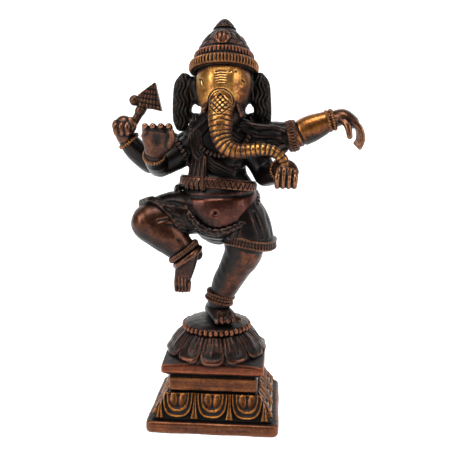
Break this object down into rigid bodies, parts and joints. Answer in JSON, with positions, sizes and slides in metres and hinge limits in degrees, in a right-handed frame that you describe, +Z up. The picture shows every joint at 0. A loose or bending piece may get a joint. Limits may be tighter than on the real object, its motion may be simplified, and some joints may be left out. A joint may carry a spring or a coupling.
{
  "type": "brass dancing elephant-headed figure",
  "caption": "Dancing elephant-headed figure in dark patinated brass, standing on one leg on a stepped lotus pedestal.",
  "frame": {"origin": "middle of the pedestal's foot, on the surface that it stands on", "axes": "+Z up; the figure faces -Y; +X is the viewer's right, the figure's own left"},
  "size_m": [0.1085, 0.0541, 0.1772],
  "materials": {
    "pedestal_brass": "brown patina, brushed back to orange on the edges",
    "pedestal_petals": "dark ground with golden rubbed ridges",
    "blackened_brass": "black patina, satin",
    "black_cloth": "black patina with worn brown ridges",
    "brown_skin": "reddish brown patina, polished by handling",
    "brown_ornament": "brown patina, ridges rubbed to brass",
    "polished_face": "rubbed back to golden brass",
    "polished_limb": "rubbed back to dark gold",
    "polished_ornament": "gold ridges on a dark ground",
    "crown_brass": "dark patina with rubbed high spots",
    "bare_brass": "bare hammered brass, hidden inside the pedestal"
  },
  "bodies": {
    "root": {"foot_slab": "pedestal_brass", "petal_tier": "pedestal_brass", "tier_petals": "pedestal_petals", "neck_block": "pedestal_brass", "cornice": "pedestal_brass", "lotus_cushion": "blackened_brass", "cushion_petal_ring": "pedestal_petals", "standing_disc": "blackened_brass", "disc_beads": "brown_ornament", "fixing_rivet": "bare_brass", "rivet_washer": "bare_brass", "standing_foot": "brown_skin", "standing_anklet": "brown_ornament", "standing_leg": "brown_skin", "raised_leg": "brown_skin", "raised_anklet": "brown_ornament", "raised_foot": "brown_skin", "dhoti": "black_cloth", "standing_hem": "brown_ornament", "raised_hem": "black_cloth", "waist_cord": "black_cloth", "torso": "blackened_brass", "belly_band": "brown_ornament", "sash_tassel": "black_cloth", "shoulder_folds": "black_cloth", "chest_sash": "black_cloth", "necklace": "black_cloth", "sweet_arm": "blackened_brass", "sweet_hand": "polished_limb", "sweet_bracelet": "polished_ornament", "sweet": "polished_limb", "stretched_arm": "blackened_brass", "stretched_armlet": "polished_ornament", "stretched_forearm": "polished_limb", "stretched_bracelet": "polished_ornament", "stretched_hand": "brown_skin", "blessing_arm": "blackened_brass", "blessing_armlet": "blackened_brass", "blessing_bracelet": "polished_ornament", "blessing_hand": "brown_skin", "axe_arm": "blackened_brass", "axe_armlet": "blackened_brass", "axe_bracelet": "polished_ornament", "axe_hand": "brown_skin", "axe": "polished_limb", "hair": "blackened_brass", "head": "polished_face", "left_ear": "blackened_brass", "right_ear": "blackened_brass", "trunk": "polished_face", "left_tusk": "polished_face", "right_tusk": "polished_face", "crown": "crown_brass", "crown_lower_band": "polished_ornament", "crown_upper_band": "brown_ornament", "crown_medallion": "brown_ornament", "crown_finial": "crown_brass"}
  },
  "joints": []
}
